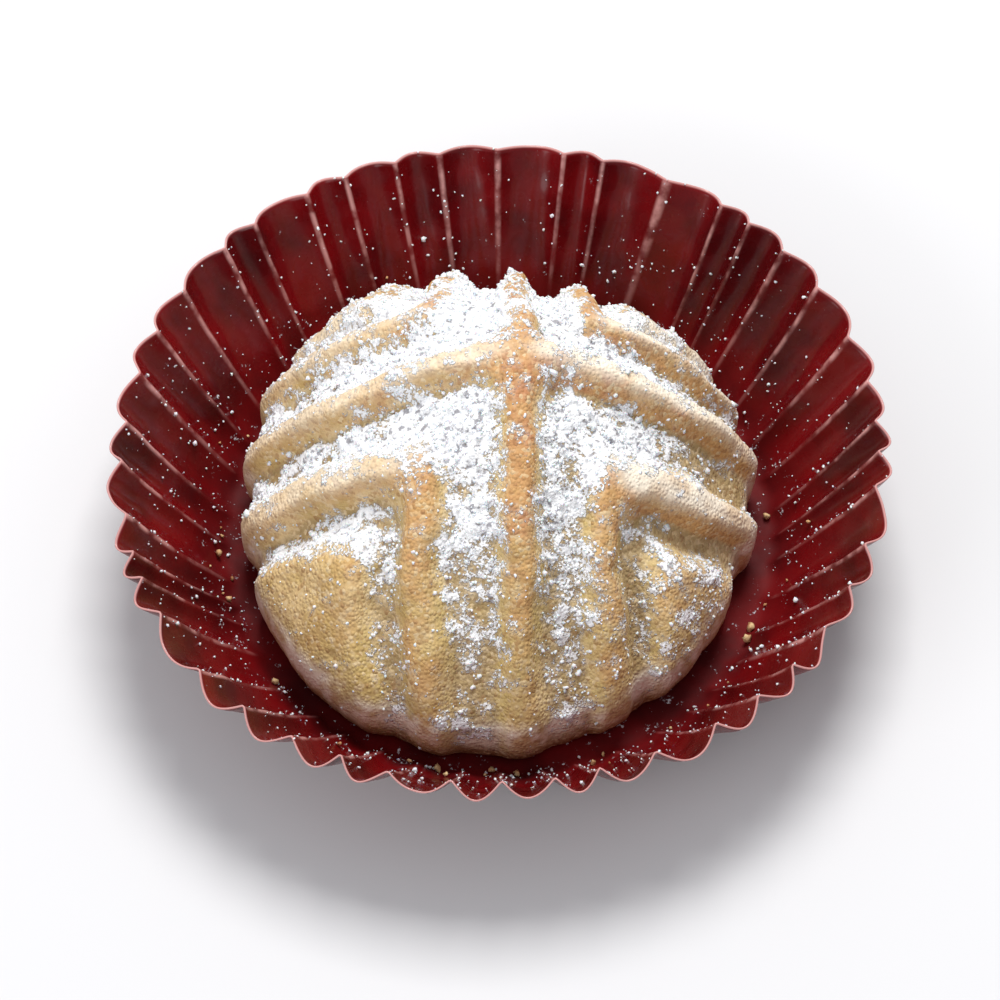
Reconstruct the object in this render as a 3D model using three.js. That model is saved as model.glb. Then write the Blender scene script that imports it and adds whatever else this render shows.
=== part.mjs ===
// A maamoul in its paper cup. The cookie is a flat-based dome of moulded dough. Its face
// carries a cross of four raised spokes. Each quarter between them holds a raised chevron,
// its arms parallel to the spokes, and a raised field past it. The cookie stands in a
// fluted cup of glazed paper that flares outwards.
// Millimetres, +Z up. The origin is the middle of the cup's underside.
import * as THREE from 'three';

const FULL_TURN = 2 * Math.PI;

// Driving dimensions of the cookie.
const COOKIE_RADIUS = 22.5;
const COOKIE_HEIGHT = 24.5;
const FOOT_HEIGHT = 4.6; // the widest ring's height above the cookie's base
const FOOT_INSET = 1.4; // how far the base's edge lies inside the widest ring
const DOME_POWER_ACROSS = 1.6; // the outline is a superellipse with these two powers:
const DOME_POWER_UP = 1.3; // peaked at the top, upright at the widest ring

// Driving dimensions of the moulded pattern. Distances run across the face, from a spoke's
// crest, and a ridge is level up to CREST_LEVEL from its crest and gone at CREST_FOOT.
const CHEVRON_CREST = 7.5; // from a spoke's crest to the parallel arm of the chevron
const CREST_LEVEL = 0.4;
const CREST_FOOT = 2.5;
const FIELD_FOOT = 10.8; // where the raised field past the chevron starts to rise
const FIELD_LEVEL = 13.1; // and where it is level with the crests
const CORNER_ROUNDING = 3; // how far from a chevron's corner its arms start to round
const RIDGE_RELIEF = 2.2; // a groove floor's depth below the crests
const RELIEF_AT_RING = 0.6; // share of the relief that is left at the widest ring
const RELIEF_AT_BASE = 0.25; // and at the base's edge
const RELIEF_FADES_FROM = 0.8; // where the relief starts to fade, 0 apex to 1 widest ring

// Driving dimensions of the hand-made unevenness.
const APEX_SHIFT = new THREE.Vector2(1.1, 1.5); // the apex leans this far off the middle
const EGG_SHARE = 0.1; // the outline is this much of its radius longer to one side
const EGG_AZIMUTH = THREE.MathUtils.degToRad(-115); // the side it is longer to
const OVAL_SHARE = 0.02; // this much longer from front to back, and narrower across
const CORNER_SHARE = 0.03; // and this much longer towards each of three soft corners
const CORNER_AZIMUTH = THREE.MathUtils.degToRad(17); // where one of these corners lies
const SPOKE_BEND = 0.16; // radians that a spoke bends at most on its way down
const SPOKE_BEND_PHASE = 0.42; // at 0 the spokes along X bend backwards and the others don't
const CROSS_SHIFT = 0.9; // the spokes along X meet this far in front of the apex
const FRONT_STRETCH = 1.22; // share by which the front right quarter's rows lie further apart

// Driving dimensions of the paper cup.
const PAPER_THICKNESS = 0.35;
const CUP_FLOOR_RADIUS = 23.2;
const CUP_RIM_RADIUS = 32.5;
const CUP_HEIGHT = 12.5;
const CUP_BEND = 0.8; // length of the rounded bend each side of the floor's edge
const PLEAT_COUNT = 44;
const PLEAT_DEPTH = 1.5; // inner to outer folds, at the rim
const PLEAT_DEPTH_AT_FLOOR = 0.3; // the same where the pleats start, as a share of that
const RIM_SWAY = THREE.MathUtils.degToRad(1.4); // how far the flare varies round the cup

// How the cookie stands in the cup.
const COOKIE_PLACE = new THREE.Vector2(0.5, 2.35); // centres the uneven cookie in the cup
const REST_GAP = 0.3; // between the cookie's base and the cup's floor

// Mesh steps.
const COOKIE_STEPS_ROUND = 112;
const DOME_STEPS = 20;
const FOOT_STEPS = 4;
const CUP_WALL_STEPS = 2;
const CUP_BEND_STEPS = 2;

const COOKIE_FINISH = new THREE.MeshStandardMaterial({
  color: 0xdcc298,
  roughness: 0.85,
  metalness: 0,
});
const PAPER_FINISH = new THREE.MeshStandardMaterial({
  color: 0x5c1216,
  roughness: 0.32,
  metalness: 0,
});

/** The dome's outline from apex to widest ring, a quarter superellipse: x radius, y height. */
class DomeOutline extends THREE.Curve {
  getPoint(t, target = new THREE.Vector2()) {
    const turn = (t * Math.PI) / 2;
    const across = Math.sin(turn) ** (2 / DOME_POWER_ACROSS);
    const up = Math.cos(turn) ** (2 / DOME_POWER_UP);
    const rise = (COOKIE_HEIGHT - FOOT_HEIGHT) * up;
    return target.set(COOKIE_RADIUS * across, FOOT_HEIGHT + rise);
  }
}

/**
 * How far a place on the face is from the cross of spokes, which run along X and Y. In the
 * front right quarter the distance from the spoke along X is read as less than it is.
 */
function distanceFromCross(reach, patternAzimuth) {
  const x = reach * Math.cos(patternAzimuth);
  const y = reach * Math.sin(patternAzimuth) + CROSS_SHIFT;
  const stretch = x > 0 && y < 0 ? FRONT_STRETCH : 1;
  const fromSpokesAlongX = Math.abs(y) / stretch;
  const fromSpokesAlongY = Math.abs(x);
  const nearest = Math.min(fromSpokesAlongX, fromSpokesAlongY);
  const inCorner = CORNER_ROUNDING - Math.abs(fromSpokesAlongX - fromSpokesAlongY);
  return nearest - Math.max(0, inCorner) ** 2 / (4 * CORNER_ROUNDING);
}

/** One ridge's height: 1 along its crest, falling to 0 at its foot. */
function crestHeight(distance) {
  return 1 - THREE.MathUtils.smoothstep(Math.abs(distance), CREST_LEVEL, CREST_FOOT);
}

/** The face's height: 1 on the spokes, the chevrons and the fields, 0 on a groove's floor. */
function faceHeight(distance) {
  const field = THREE.MathUtils.smoothstep(distance, FIELD_FOOT, FIELD_LEVEL);
  return Math.max(crestHeight(distance), crestHeight(distance - CHEVRON_CREST), field);
}

/** Where a direction of the mould's pattern ends up, as its spokes run slightly bent. */
function bentAzimuth(patternAzimuth, along) {
  return patternAzimuth + SPOKE_BEND * along * Math.cos(patternAzimuth + SPOKE_BEND_PHASE);
}

/** The outline's share of its mean radius at one azimuth: an egg with three soft corners. */
function outlineShare(azimuth) {
  const egg = EGG_SHARE * Math.cos(azimuth - EGG_AZIMUTH);
  const oval = OVAL_SHARE * Math.cos(2 * azimuth);
  const corners = CORNER_SHARE * Math.cos(3 * (azimuth - CORNER_AZIMUTH));
  return 1 + egg - oval + corners;
}

/** One ring of the cookie: a point of its outline carried round, with the grooves sunk. */
function cookieRing(outlinePoint, normal, along, reach, relief) {
  const ring = [];
  const lean = (outlinePoint.y / COOKIE_HEIGHT) ** 2;
  for (let step = 0; step < COOKIE_STEPS_ROUND; step += 1) {
    const patternAzimuth = (FULL_TURN * step) / COOKIE_STEPS_ROUND;
    const azimuth = bentAzimuth(patternAzimuth, along);
    const depth = relief * (1 - faceHeight(distanceFromCross(reach, patternAzimuth)));
    const radius = outlinePoint.x * outlineShare(azimuth) - depth * normal.x;
    ring.push(new THREE.Vector3(
      radius * Math.cos(azimuth) + APEX_SHIFT.x * lean,
      radius * Math.sin(azimuth) + APEX_SHIFT.y * lean,
      outlinePoint.y - depth * normal.y,
    ));
  }
  return ring;
}

/** The dome's rings, from next to the apex down to the widest ring. */
function domeRings(outline) {
  const rings = [];
  const arcLength = outline.getLength();
  for (let step = 1; step <= DOME_STEPS; step += 1) {
    const along = step / DOME_STEPS;
    const point = outline.getPointAt(along);
    const tangent = outline.getTangentAt(along);
    const normal = new THREE.Vector2(-tangent.y, tangent.x);
    const reach = (point.x + along * arcLength) / 2;
    const faded = THREE.MathUtils.smoothstep(along, RELIEF_FADES_FROM, 1);
    const relief = RIDGE_RELIEF * THREE.MathUtils.lerp(1, RELIEF_AT_RING, faded);
    rings.push(cookieRing(point, normal, along, reach, relief));
  }
  return rings;
}

/** The foot's rings, a quarter ellipse from below the widest ring in to the base's edge. */
function footRings(outline) {
  const rings = [];
  const reach = (COOKIE_RADIUS + outline.getLength()) / 2;
  const sideways = new THREE.Vector2(1, 0);
  for (let step = 1; step <= FOOT_STEPS; step += 1) {
    const down = step / FOOT_STEPS;
    const turn = (down * Math.PI) / 2;
    const point = new THREE.Vector2(
      COOKIE_RADIUS - FOOT_INSET * (1 - Math.cos(turn)),
      FOOT_HEIGHT * (1 - Math.sin(turn)),
    );
    const relief = RIDGE_RELIEF * THREE.MathUtils.lerp(RELIEF_AT_RING, RELIEF_AT_BASE, down);
    rings.push(cookieRing(point, sideways, 1, reach, relief));
  }
  return rings;
}

/** A four-cornered face as two triangles, split along its shorter diagonal. */
function splitFace(points, first, second, third, fourth) {
  const diagonal = points[first].distanceTo(points[third]);
  const otherDiagonal = points[second].distanceTo(points[fourth]);
  if (diagonal <= otherDiagonal) {
    return [first, second, third, first, third, fourth];
  }
  return [first, second, fourth, second, third, fourth];
}

/** A closed body: rings joined by bands, and a fan from a middle point at either end. */
function closedBody(firstMiddle, rings, lastMiddle) {
  const around = rings[0].length;
  const points = [firstMiddle, ...rings.flat(), lastMiddle];
  const last = points.length - 1;
  const faces = [];
  const at = (ring, step) => 1 + ring * around + (step % around);
  for (let step = 0; step < around; step += 1) {
    faces.push(0, at(0, step), at(0, step + 1));
    faces.push(last, at(rings.length - 1, step + 1), at(rings.length - 1, step));
    for (let ring = 1; ring < rings.length; ring += 1) {
      const upper = [at(ring - 1, step), at(ring - 1, step + 1)];
      const lower = [at(ring, step), at(ring, step + 1)];
      faces.push(...splitFace(points, upper[0], lower[0], lower[1], upper[1]));
    }
  }
  const geometry = new THREE.BufferGeometry();
  geometry.setFromPoints(points);
  geometry.setIndex(faces);
  geometry.computeVertexNormals();
  return geometry;
}

/** The moulded cookie, standing on the cup's floor. */
function makeCookie() {
  const outline = new DomeOutline();
  const apex = new THREE.Vector3(APEX_SHIFT.x, APEX_SHIFT.y, COOKIE_HEIGHT);
  const rings = [...domeRings(outline), ...footRings(outline)];
  const mesh = new THREE.Mesh(closedBody(apex, rings, new THREE.Vector3()), COOKIE_FINISH);
  mesh.name = 'cookie';
  mesh.position.set(COOKIE_PLACE.x, COOKIE_PLACE.y, PAPER_THICKNESS + REST_GAP);
  return mesh;
}

/** The paper's own outline at one azimuth: rows of radius, height and share of pleating. */
function cupOutline(azimuth) {
  const floorHeight = PAPER_THICKNESS / 2;
  const run = CUP_RIM_RADIUS - CUP_FLOOR_RADIUS;
  const rise = CUP_HEIGHT - floorHeight;
  const sway = RIM_SWAY * Math.cos(2 * azimuth + 0.9) + (RIM_SWAY / 2) * Math.cos(4 * azimuth);
  const flare = Math.atan2(rise, run) + sway;
  const slant = Math.hypot(run, rise);
  const onWall = (far) => new THREE.Vector2(
    CUP_FLOOR_RADIUS + far * Math.cos(flare),
    floorHeight + far * Math.sin(flare),
  );
  const bend = new THREE.QuadraticBezierCurve(
    new THREE.Vector2(CUP_FLOOR_RADIUS - CUP_BEND, floorHeight),
    new THREE.Vector2(CUP_FLOOR_RADIUS, floorHeight),
    onWall(CUP_BEND),
  );
  const rows = bend.getPoints(CUP_BEND_STEPS).map((point, step) => ({
    point,
    pleating: (PLEAT_DEPTH_AT_FLOOR * step) / CUP_BEND_STEPS,
  }));
  for (let step = 1; step <= CUP_WALL_STEPS; step += 1) {
    const up = step / CUP_WALL_STEPS;
    rows.push({
      point: onWall(THREE.MathUtils.lerp(CUP_BEND, slant, up)),
      pleating: THREE.MathUtils.lerp(PLEAT_DEPTH_AT_FLOOR, 1, up),
    });
  }
  return { rows, inward: new THREE.Vector2(-Math.sin(flare), Math.cos(flare)) };
}

/** The folds of one pleat: where each lies in the pleat's width, and its side, 1 inside. */
const PLEAT_FOLDS = [
  { place: -0.13, side: 1 },
  { place: 0.13, side: 1 },
  { place: 0.36, side: -1 },
  { place: 0.64, side: -1 },
];

/** The middle of the paper sheet, as rings of points from the floor's edge to the rim. */
function paperRings() {
  const rings = [];
  for (let pleat = 0; pleat < PLEAT_COUNT; pleat += 1) {
    for (const { place, side } of PLEAT_FOLDS) {
      const azimuth = (FULL_TURN * (pleat + place)) / PLEAT_COUNT;
      const { rows, inward } = cupOutline(azimuth);
      rows.forEach(({ point, pleating }, row) => {
        const shift = (side * pleating * PLEAT_DEPTH) / 2;
        const radius = point.x + shift * inward.x;
        rings[row] ??= [];
        rings[row].push(new THREE.Vector3(
          radius * Math.cos(azimuth),
          radius * Math.sin(azimuth),
          point.y + shift * inward.y,
        ));
      });
    }
  }
  return rings;
}

/** The sheet's direction towards the inside of the cup, at one point of its rings. */
function paperNormal(rings, row, step) {
  if (row === 0) {
    return new THREE.Vector3(0, 0, 1);
  }
  const ring = rings[row];
  const before = ring[(step + ring.length - 1) % ring.length];
  const after = ring[(step + 1) % ring.length];
  const lower = rings[row - 1][step];
  const upper = rings[Math.min(row + 1, rings.length - 1)][step];
  const round = new THREE.Vector3().subVectors(after, before);
  const outward = new THREE.Vector3().subVectors(upper, lower);
  return outward.cross(round).normalize();
}

/** The fluted cup: the paper sheet thickened to both sides of its middle. */
function makePaperCup() {
  const middle = paperRings();
  const shifted = (amount) => middle.map((ring, row) => ring.map((point, step) => (
    point.clone().addScaledVector(paperNormal(middle, row, step), amount)
  )));
  const inside = shifted(PAPER_THICKNESS / 2);
  const outside = shifted(-PAPER_THICKNESS / 2);
  const body = closedBody(
    new THREE.Vector3(0, 0, PAPER_THICKNESS),
    [...inside, ...outside.reverse()],
    new THREE.Vector3(),
  );
  const mesh = new THREE.Mesh(body, PAPER_FINISH);
  mesh.name = 'paper_case';
  return mesh;
}

const maamoul = new THREE.Group();
maamoul.add(makePaperCup(), makeCookie());

export default maamoul;
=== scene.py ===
"""A sugar-dusted maamoul in its fluted paper cup.

The cookie is a dome of moulded dough with a cross of spokes and a chevron in each quarter.
Powdered sugar lies in its grooves and over its back. The cup is one pleated sheet of glazed
paper. Shapes are worked out in millimetres, and make_piece turns them into metres.
"""
import math

import bpy
import numpy as np
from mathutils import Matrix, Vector


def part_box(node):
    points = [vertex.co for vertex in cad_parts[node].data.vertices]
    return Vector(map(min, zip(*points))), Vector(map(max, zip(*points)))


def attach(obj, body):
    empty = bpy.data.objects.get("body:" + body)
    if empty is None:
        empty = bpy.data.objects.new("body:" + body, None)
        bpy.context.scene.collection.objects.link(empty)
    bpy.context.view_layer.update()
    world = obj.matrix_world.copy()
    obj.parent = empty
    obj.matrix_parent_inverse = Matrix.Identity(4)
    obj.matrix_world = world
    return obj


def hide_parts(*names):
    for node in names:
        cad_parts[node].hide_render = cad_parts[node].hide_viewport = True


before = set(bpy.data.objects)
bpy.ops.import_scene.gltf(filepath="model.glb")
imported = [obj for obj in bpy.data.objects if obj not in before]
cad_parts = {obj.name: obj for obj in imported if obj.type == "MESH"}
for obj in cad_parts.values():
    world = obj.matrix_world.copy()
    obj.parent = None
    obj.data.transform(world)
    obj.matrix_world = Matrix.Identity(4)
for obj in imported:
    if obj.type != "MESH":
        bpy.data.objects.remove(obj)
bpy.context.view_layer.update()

MM = 0.001
FULL_TURN = 2 * math.pi

# The cookie's sizes, as its solid has them.
COOKIE_RADIUS = 22.5
COOKIE_HEIGHT = 24.5
FOOT_HEIGHT = 4.6  # the widest ring's height above the base
FOOT_INSET = 1.4  # how far the base's edge lies inside the widest ring
DOME_POWER_ACROSS = 1.6  # the side view is a superellipse with these two powers
DOME_POWER_UP = 1.3
CHEVRON_CREST = 7.5  # from a spoke's crest to the parallel arm of the chevron
CREST_LEVEL = 0.4  # from a crest's middle to where its flank starts
CREST_FOOT = 2.5  # and to where its flank meets the groove
FIELD_FOOT = 10.8  # where the raised field past the chevron starts to rise
FIELD_LEVEL = 13.1  # and where it is level with the crests
CORNER_ROUNDING = 3  # how far from a chevron's corner its arms start to round
RIDGE_RELIEF = 2.2  # a groove floor's depth below the crests
RELIEF_AT_RING = 0.6  # share of the relief that is left at the widest ring
RELIEF_AT_BASE = 0.25  # and at the base's edge
RELIEF_FADES_FROM = 0.8  # where it starts to fade, 0 apex to 1 widest ring
APEX_SHIFT = (1.1, 1.5)  # how far the apex leans off the middle
EGG_SHARE = 0.1  # the outline is this much of its radius longer to one side
EGG_AZIMUTH = math.radians(-115)
OVAL_SHARE = 0.02  # this much longer from front to back, and narrower across
CORNER_SHARE = 0.03  # and this much longer towards each of three soft corners
CORNER_AZIMUTH = math.radians(17)
SPOKE_BEND = 0.16  # radians that a spoke bends at most on its way down
SPOKE_BEND_PHASE = 0.42
CROSS_SHIFT = 0.9  # the spokes along X meet this far in front of the apex
FRONT_STRETCH = 1.22  # the front right quarter's rows lie this much further apart
COOKIE_PLACE = (0.5, 2.35)  # centres the uneven cookie in the cup
UNEVEN_FROM = (0.5, 4)  # the unevenness grows between these distances from the apex
FOOT_CLEARANCE = 0.02  # the visible foot ends this far above the paper
PITS = 150
PIT_WIDTHS = (0.2, 0.55)
PIT_DEPTHS = (0.08, 0.26)

# The cup's sizes, as its solid has them, apart from the paper, which has its true thickness.
PAPER_THICKNESS = 0.14
CUP_FLOOR_RADIUS = 23.2
CUP_RIM_RADIUS = 32.5
CUP_HEIGHT = 12.5
CUP_BEND = 0.8  # length of the rounded bend each side of the floor's edge
PLEAT_COUNT = 44
PLEAT_DEPTH = 1.5
PLEAT_DEPTH_AT_FLOOR = 0.3  # share of the depth that the pleats start with
RIM_SWAY = math.radians(1.4)
FOLD_TIP = 0.06  # how round a fold's tip is, 0 for a sharp one
WALL_BOW = 0.30  # how far the wall bows outwards halfway up
UNEVEN_CIRCLE = 10  # radius of the circle on which the pleats' unevenness is read

# Mesh steps.
COOKIE_STEPS_ROUND = 620
DOME_STEPS = 128
FOOT_STEPS = 18
UNDERSIDE_STEPS = 6
STEPS_PER_PLEAT = 22
CUP_FLOOR_STEPS = 5
CUP_BEND_STEPS = 6
CUP_WALL_STEPS = 30

# Unevenness in layers, each a size, a wavelength in millimetres, a seed and, for the
# finest ones, a number of waves.
PATTERN_WOBBLE_X = ((0.34, 9, 11), (0.10, 3, 12))
PATTERN_WOBBLE_Y = ((0.34, 9, 13), (0.10, 3, 14))
RIDGE_WIDTH = ((0.22, 5, 15),)
CREST_WEAR = ((0.10, 8, 16),)
DOUGH_LUMPS = ((0.12, 6, 17), (0.06, 1.9, 18))
DOUGH_GRIT = ((0.035, 0.95, 19, 40),)
SUGAR_PATCHES = ((0.18, 5, 21), (0.18, 1.9, 22))
SUGAR_LUMPS = ((0.34, 1.7, 23), (0.34, 0.9, 24, 40))
EDGE_PATCHES = ((0.24, 7, 25),)
TOAST_PATCHES = ((1, 7, 31), (0.5, 2.4, 32))
GOLD_STREAKS = ((1, 5, 33), (0.6, 2, 34))
DUST_PATCHES = ((1, 6, 35), (0.7, 2.2, 36))
OLIVE_CLOUDS = ((1, 6, 37), (0.5, 2.5, 38))
DUST_LINE_BREAKS = ((1, 4.5, 39), (0.9, 1.3, 40))
PLEAT_DRIFT = ((0.30, 5.5, 51), (0.16, 2.6, 52))
PLEAT_SLIP = ((0.20, 4, 53),)
PLEAT_STRENGTH = ((0.18, 3, 54),)
PAPER_CREASES = ((0.10, 7, 55), (0.05, 2.5, 56))

# The sugar.
SUGAR_DEPTH = 0.42
SUGAR_LUMP_MEAN = 0.60  # the layer's mean depth as a share of that
SUGAR_FALLS_FROM = np.array([-0.12, 0.42, 0.9])
SUGAR_CLUMPS = 8600
SUGAR_SPECKS_ON_CUP = 1200
CRUMBS = 42

# Shares of a full cover of sugar that each place adds, or takes off where they are negative.
SUGAR_ANYWHERE = 0.08
SUGAR_CAUGHT = 0.42
SUGAR_CAUGHT_ON_CREST = -0.12
SUGAR_IN_GROOVE = 0.60
SUGAR_UNDER_RIDGE = -0.18
SUGAR_BEHIND = 0.26
SUGAR_ON_CREST_BEHIND = -0.20
# The thin cover of the front right field is partly painted shade.
SUGAR_ON_RIGHT_FIELD = 0.20
SUGAR_HEAP = 0.22
SUGAR_FRONT_LEFT = -0.06
SUGAR_LOW_IN_GROOVE = -0.36
SUGAR_LOW = -0.02
# Partly painted shade.
SUGAR_LOW_ON_RIGHT = -0.18
SUGAR_AT_RIGHT_END = -0.12
SUGAR_ON_EDGE = 0.12
HEAP_PLACE = (7, -18)
HEAP_WIDTH = 5

# How much of the full tone is left at a place.
TOAST_AT_FOOT = 0.15
TOAST_ON_LEFT_RIDGES = 0.3
# Painted shade on the front slopes of the ridges that run to the left, as a share of that on the
# right.
SLOPE_SHADE_ON_LEFT = 0.75
GOLD_ON_RIDGES = 0.9
GOLD_LOW_IN_FRONT = 0.7
GOLD_ON_FIELDS = 0.45
GOLD_ON_LEFT_RIDGES = 0.55
GOLD_ON_RIGHT_SLOPES = 0.95
OLIVE_LEAST, OLIVE_MOST = 0.25, 0.7
# Dust and painted highlight on the ridges that run to the left, as a share of that on the right.
DUST_AND_HIGHLIGHT_ON_LEFT = 0.55
DUST_BETWEEN_PATCHES = 0.5
DUST_IN_LINE_BREAKS = 0.12

# The powder's unevenness from patches to single grains: its size, and how much more or less
# powder it makes.
POWDER_PATCH, PATCH_STRENGTH = 1.5, 1.1
POWDER_CLUMP, CLUMP_STRENGTH = 0.62, 0.8
POWDER_GRAIN, GRAIN_STRENGTH = 0.24, 1.1

# Radii of scattered grains: their median, spread, least and most.
CLUMP_RADII = (0.11, 0.38, 0.06, 0.34)
SPECK_RADII = (0.075, 0.4, 0.04, 0.26)
CRUMB_RADII = (0.17, 0.42, 0.09, 0.4)
GRAIN_BULGE = 0.22  # spread of a grain's points in and out, as a share of its radius
GRAIN_BULGE_LIMIT = 1.6
GRAIN_STRETCH = (0.7, 1.3)

# The camera and the studio.
CAMERA_ELEVATION = math.radians(56)
CAMERA_DISTANCE = 0.75
VIEW_WIDTH = 0.084
LOOK_AT = (0.0, -0.0006, 0.0075)


def smoothstep(value, low, high):
    """0 below low, 1 above high, and 3 t^2 - 2 t^3 of the share t between them."""
    share = np.clip((value - low) / (high - low), 0, 1)
    return share * share * (3 - 2 * share)


def blend(first, second, share):
    """First where share is 0 and second where it is 1, in proportion between."""
    return first + (second - first) * share


def waves(points, wavelength, seed, count=22):
    """Smooth unevenness of about -1 to 1: the sum of sine waves in random directions.

    Each wave is near the wavelength given, and starts at a random phase.
    """
    rng = np.random.default_rng(seed)
    direction = rng.normal(size=(count, 3))
    direction /= np.linalg.norm(direction, axis=1, keepdims=True)
    pitch = wavelength * rng.uniform(0.65, 1.5, (count, 1))
    phase = rng.uniform(0, FULL_TURN, count)
    angle = points @ (FULL_TURN * direction / pitch).T + phase
    return np.sin(angle).sum(-1) / math.sqrt(2 * count)


def uneven(points, layers):
    """The sum of layers of waves, each times its size."""
    return sum(size * waves(points, *shape) for size, *shape in layers)


def closed_faces(rows, columns):
    """Faces of a closed body of rings: a fan at its first point, bands, a fan at its last.

    Point 0 is the first pole, then come the rings row by row, and the last pole ends them.
    """
    ring = 1 + np.arange(rows * columns).reshape(rows, columns)
    beside = np.roll(ring, -1, axis=1)
    first = np.zeros(columns, int)
    last = np.full(columns, rows * columns + 1)
    bands = np.stack([ring[:-1], ring[1:], beside[1:], beside[:-1]], -1)
    return [
        np.stack([first, ring[0], beside[0]], 1),
        bands.reshape(-1, 4),
        np.stack([last, beside[-1], ring[-1]], 1),
    ]


def closed_points(first, rings, last):
    """The points that closed_faces joins: a pole, the rings row by row, and a pole."""
    return np.concatenate([[first], rings.reshape(-1, 3), [last]])


def ring_normals(rings):
    """Outward directions on rings: the step to the next row crossed with the step round."""
    down = np.gradient(rings, axis=0)
    sideways = np.roll(rings, -1, axis=1) - np.roll(rings, 1, axis=1)
    normals = np.cross(down, sideways)
    return normals / np.linalg.norm(normals, axis=-1, keepdims=True)


def make_piece(name, points, faces, material, marks=None):
    """A mesh object from points in millimetres, index arrays of faces and point values.

    It takes the material that it is given.
    """
    corners = np.concatenate([part.ravel() for part in faces])
    sizes = np.concatenate([np.full(len(part), part.shape[1]) for part in faces])
    mesh = bpy.data.meshes.new(name)
    mesh.vertices.add(len(points))
    mesh.vertices.foreach_set("co", (points * MM).ravel())
    mesh.loops.add(len(corners))
    mesh.loops.foreach_set("vertex_index", corners)
    mesh.polygons.add(len(sizes))
    mesh.polygons.foreach_set("loop_start", np.cumsum(sizes) - sizes)
    mesh.polygons.foreach_set("use_smooth", np.ones(len(sizes), bool))
    mesh.update(calc_edges=True)
    for label, values in (marks or {}).items():
        layer = mesh.attributes.new(label, "FLOAT", "POINT")
        layer.data.foreach_set("value", values.astype(np.float32).ravel())
    mesh.materials.append(material)
    piece = bpy.data.objects.new(name, mesh)
    bpy.context.scene.collection.objects.link(piece)
    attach(piece, "root")
    return piece


# ---------------------------------------------------------------- the cookie's shape


def dome_rows():
    """The dome's side view from apex to widest ring, as rows evenly spaced along it.

    Radius R sin(t)^(2/a) and height F + (H - F) cos(t)^(2/b), for t from 0 to a right
    angle. A row is radius, height, outward direction, share along, reach and relief.
    """
    turn = np.linspace(0, math.pi / 2, 6000)
    across = COOKIE_RADIUS * np.sin(turn) ** (2 / DOME_POWER_ACROSS)
    up = FOOT_HEIGHT + (COOKIE_HEIGHT - FOOT_HEIGHT) * np.cos(turn) ** (2 / DOME_POWER_UP)
    length = np.append(0, np.cumsum(np.hypot(np.diff(across), np.diff(up))))
    along = np.linspace(0, 1, DOME_STEPS + 1)[1:]
    radius = np.interp(along * length[-1], length, across)
    height = np.interp(along * length[-1], length, up)
    run, fall = np.gradient(radius), -np.gradient(height)
    steep = np.hypot(run, fall)
    reach = (radius + along * length[-1]) / 2
    faded = smoothstep(along, RELIEF_FADES_FROM, 1)
    relief = RIDGE_RELIEF * blend(1, RELIEF_AT_RING, faded)
    return np.stack([radius, height, fall / steep, run / steep, along, reach, relief], 1)


def foot_rows(reach):
    """The foot's side view, a quarter ellipse from the widest ring in to the base's edge."""
    down = np.linspace(0, 1, FOOT_STEPS + 1)[1:]
    turn = down * math.pi / 2
    radius = COOKIE_RADIUS - FOOT_INSET * (1 - np.cos(turn))
    height = FOOT_HEIGHT * (1 - np.sin(turn))
    relief = RIDGE_RELIEF * blend(RELIEF_AT_RING, RELIEF_AT_BASE, down)
    same = np.ones_like(down)
    return np.stack([radius, height, same, 0 * same, same, reach * same, relief], 1)


def face_height(distance):
    """Height of the moulded face: 1 on spoke, chevron and field, 0 on a groove's floor."""
    spoke = 1 - smoothstep(distance, CREST_LEVEL, CREST_FOOT)
    chevron = 1 - smoothstep(np.abs(distance - CHEVRON_CREST), CREST_LEVEL, CREST_FOOT)
    field = smoothstep(distance, FIELD_FOOT, FIELD_LEVEL)
    return np.maximum(np.maximum(spoke, chevron), field)


def ahead_of_spoke(along_x, along_y):
    """Distance in front of the spokes along X, negative behind them.

    In the front right quarter it is read as less than it is, which sets the rows wider.
    """
    return -along_y / np.where((along_x > 0) & (along_y < 0), FRONT_STRETCH, 1)


def cross_distance(along_x, along_y):
    """Distance from a cross of spokes: the lesser of the two, rounded in the corners."""
    first, second = np.abs(ahead_of_spoke(along_x, along_y)), np.abs(along_x)
    in_corner = np.maximum(0, CORNER_ROUNDING - np.abs(first - second))
    nearest = np.minimum(first, second) - in_corner**2 / (4 * CORNER_ROUNDING)
    return np.maximum(nearest, 0)


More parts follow.
